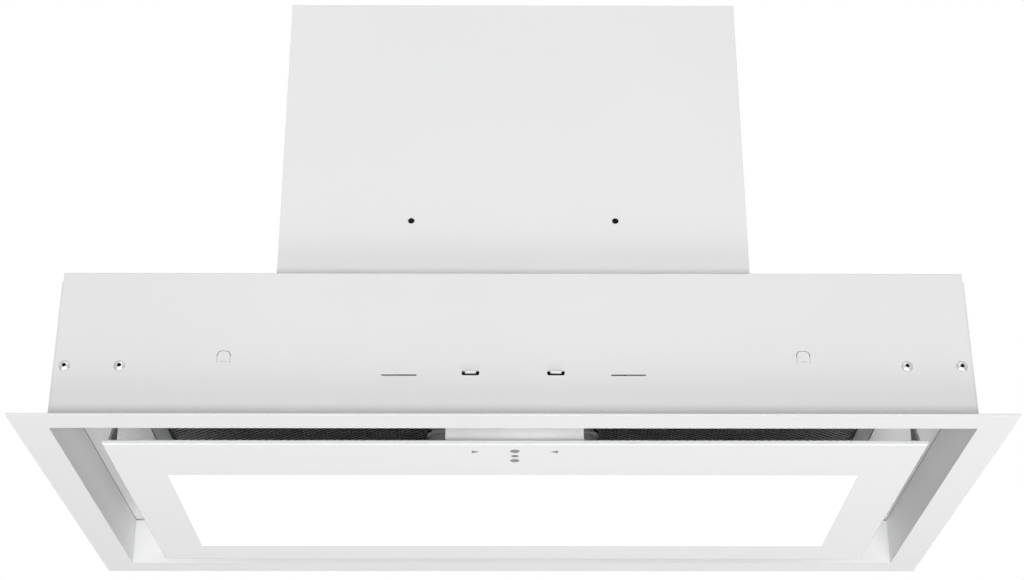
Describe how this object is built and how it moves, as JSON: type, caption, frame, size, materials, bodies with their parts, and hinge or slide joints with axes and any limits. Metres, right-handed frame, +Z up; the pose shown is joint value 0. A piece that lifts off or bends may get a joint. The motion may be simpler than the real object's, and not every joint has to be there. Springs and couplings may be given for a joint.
{
  "type": "range hood insert",
  "caption": "White built-in range hood insert: steel body with trim frame, chimney box with round outlet, mesh filter and a drop-down glass panel with a light window.",
  "frame": {"origin": "middle of the underside, at the level of the glass panel's lower face, which is the lowest face", "axes": "+X to the right seen from the front, +Y to the back (towards the wall), +Z up through the outlet"},
  "size_m": [0.6, 0.319, 0.3605],
  "materials": {
    "white_enamel": "satin white powder coat",
    "zinc_steel": "bright zinc plated",
    "rivet_metal": "bright aluminium",
    "moulded_grey": "fine grained moulding",
    "moulded_pale": "pale moulding",
    "flap_plastic": "grey moulding",
    "motor_metal": "cast and machined",
    "black_rubber": "soft black rubber",
    "filter_alu": "anodised",
    "mesh_alu": "layered expanded mesh",
    "handle_grey": "grey moulding",
    "white_glass": "white printed safety glass",
    "opal_sheet": "opal light diffuser",
    "tray_white": "white reflector sheet",
    "circuit_board": "green solder mask",
    "led_board": "white LED board",
    "housing_white": "white moulding",
    "catch_grey": "dark grey moulding",
    "capacitor_white": "white can"
  },
  "bodies": {
    "hood": {"trim_frame": "white_enamel", "front_sheet": "white_enamel", "back_sheet": "white_enamel", "side_sheet_left": "white_enamel", "side_sheet_right": "white_enamel", "filter_ledge": "white_enamel", "top_deck": "white_enamel", "body_rivets": "rivet_metal", "chimney_shell": "white_enamel", "chimney_back": "white_enamel", "chimney_top": "white_enamel", "chimney_rivets": "rivet_metal", "outlet_collar": "moulded_grey", "outlet_screws": "zinc_steel", "damper_axle": "zinc_steel", "transition_duct": "moulded_grey", "scroll_left": "moulded_grey", "scroll_right": "moulded_grey", "scroll_screws": "zinc_steel", "duct_screws": "zinc_steel", "blower_brackets": "zinc_steel", "bracket_screws": "zinc_steel", "motor_bracket": "zinc_steel", "motor_grommets": "black_rubber", "motor_screws": "zinc_steel", "fan_motor": "motor_metal", "run_capacitor": "capacitor_white", "capacitor_clip": "zinc_steel", "power_box": "moulded_pale", "power_box_lid": "moulded_pale", "lid_screws": "zinc_steel", "power_board": "circuit_board", "cable_gland": "moulded_grey", "filter_frame": "filter_alu", "filter_mesh": "mesh_alu", "filter_tabs": "zinc_steel", "filter_handle": "handle_grey", "hinge_bases": "zinc_steel", "hinge_rivets": "rivet_metal", "hinge_pins": "zinc_steel", "catch_clips": "zinc_steel"},
    "panel": {"hinge_leaves": "zinc_steel", "panel_frame": "zinc_steel", "glass_pane": "white_glass", "light_diffuser": "opal_sheet", "light_tray": "tray_white", "led_boards": "led_board", "control_housing": "housing_white", "control_board": "circuit_board", "catch_posts": "catch_grey"},
    "impeller": {"impeller": "flap_plastic"},
    "damper_left": {"damper_flap_left": "flap_plastic"},
    "damper_right": {"damper_flap_right": "flap_plastic"},
    "latch": {"filter_latch": "zinc_steel"}
  },
  "joints": [
    {"name": "panel_hinge", "type": "hinge", "parent": "hood", "child": "panel", "pos_m": [0, 0.108, 0.02], "axis": [1, 0, 0], "range_deg": [0, 90]},
    {"name": "impeller_spin", "type": "hinge", "parent": "hood", "child": "impeller", "pos_m": [0, -0.006, 0.182], "axis": [1, 0, 0], "continuous": true},
    {"name": "damper_left_swing", "type": "hinge", "parent": "hood", "child": "damper_left", "pos_m": [0, 0.034, 0.3295], "axis": [0, 1, 0], "range_deg": [0, 75]},
    {"name": "damper_right_swing", "type": "hinge", "parent": "hood", "child": "damper_right", "pos_m": [0, 0.034, 0.3295], "axis": [0, -1, 0], "range_deg": [0, 75]},
    {"name": "latch_slide", "type": "slide", "parent": "hood", "child": "latch", "axis": [0, 1, 0], "range_m": [0, 0.0042], "stiffness_N_per_m": 300, "springref_m": -0.004}
  ]
}
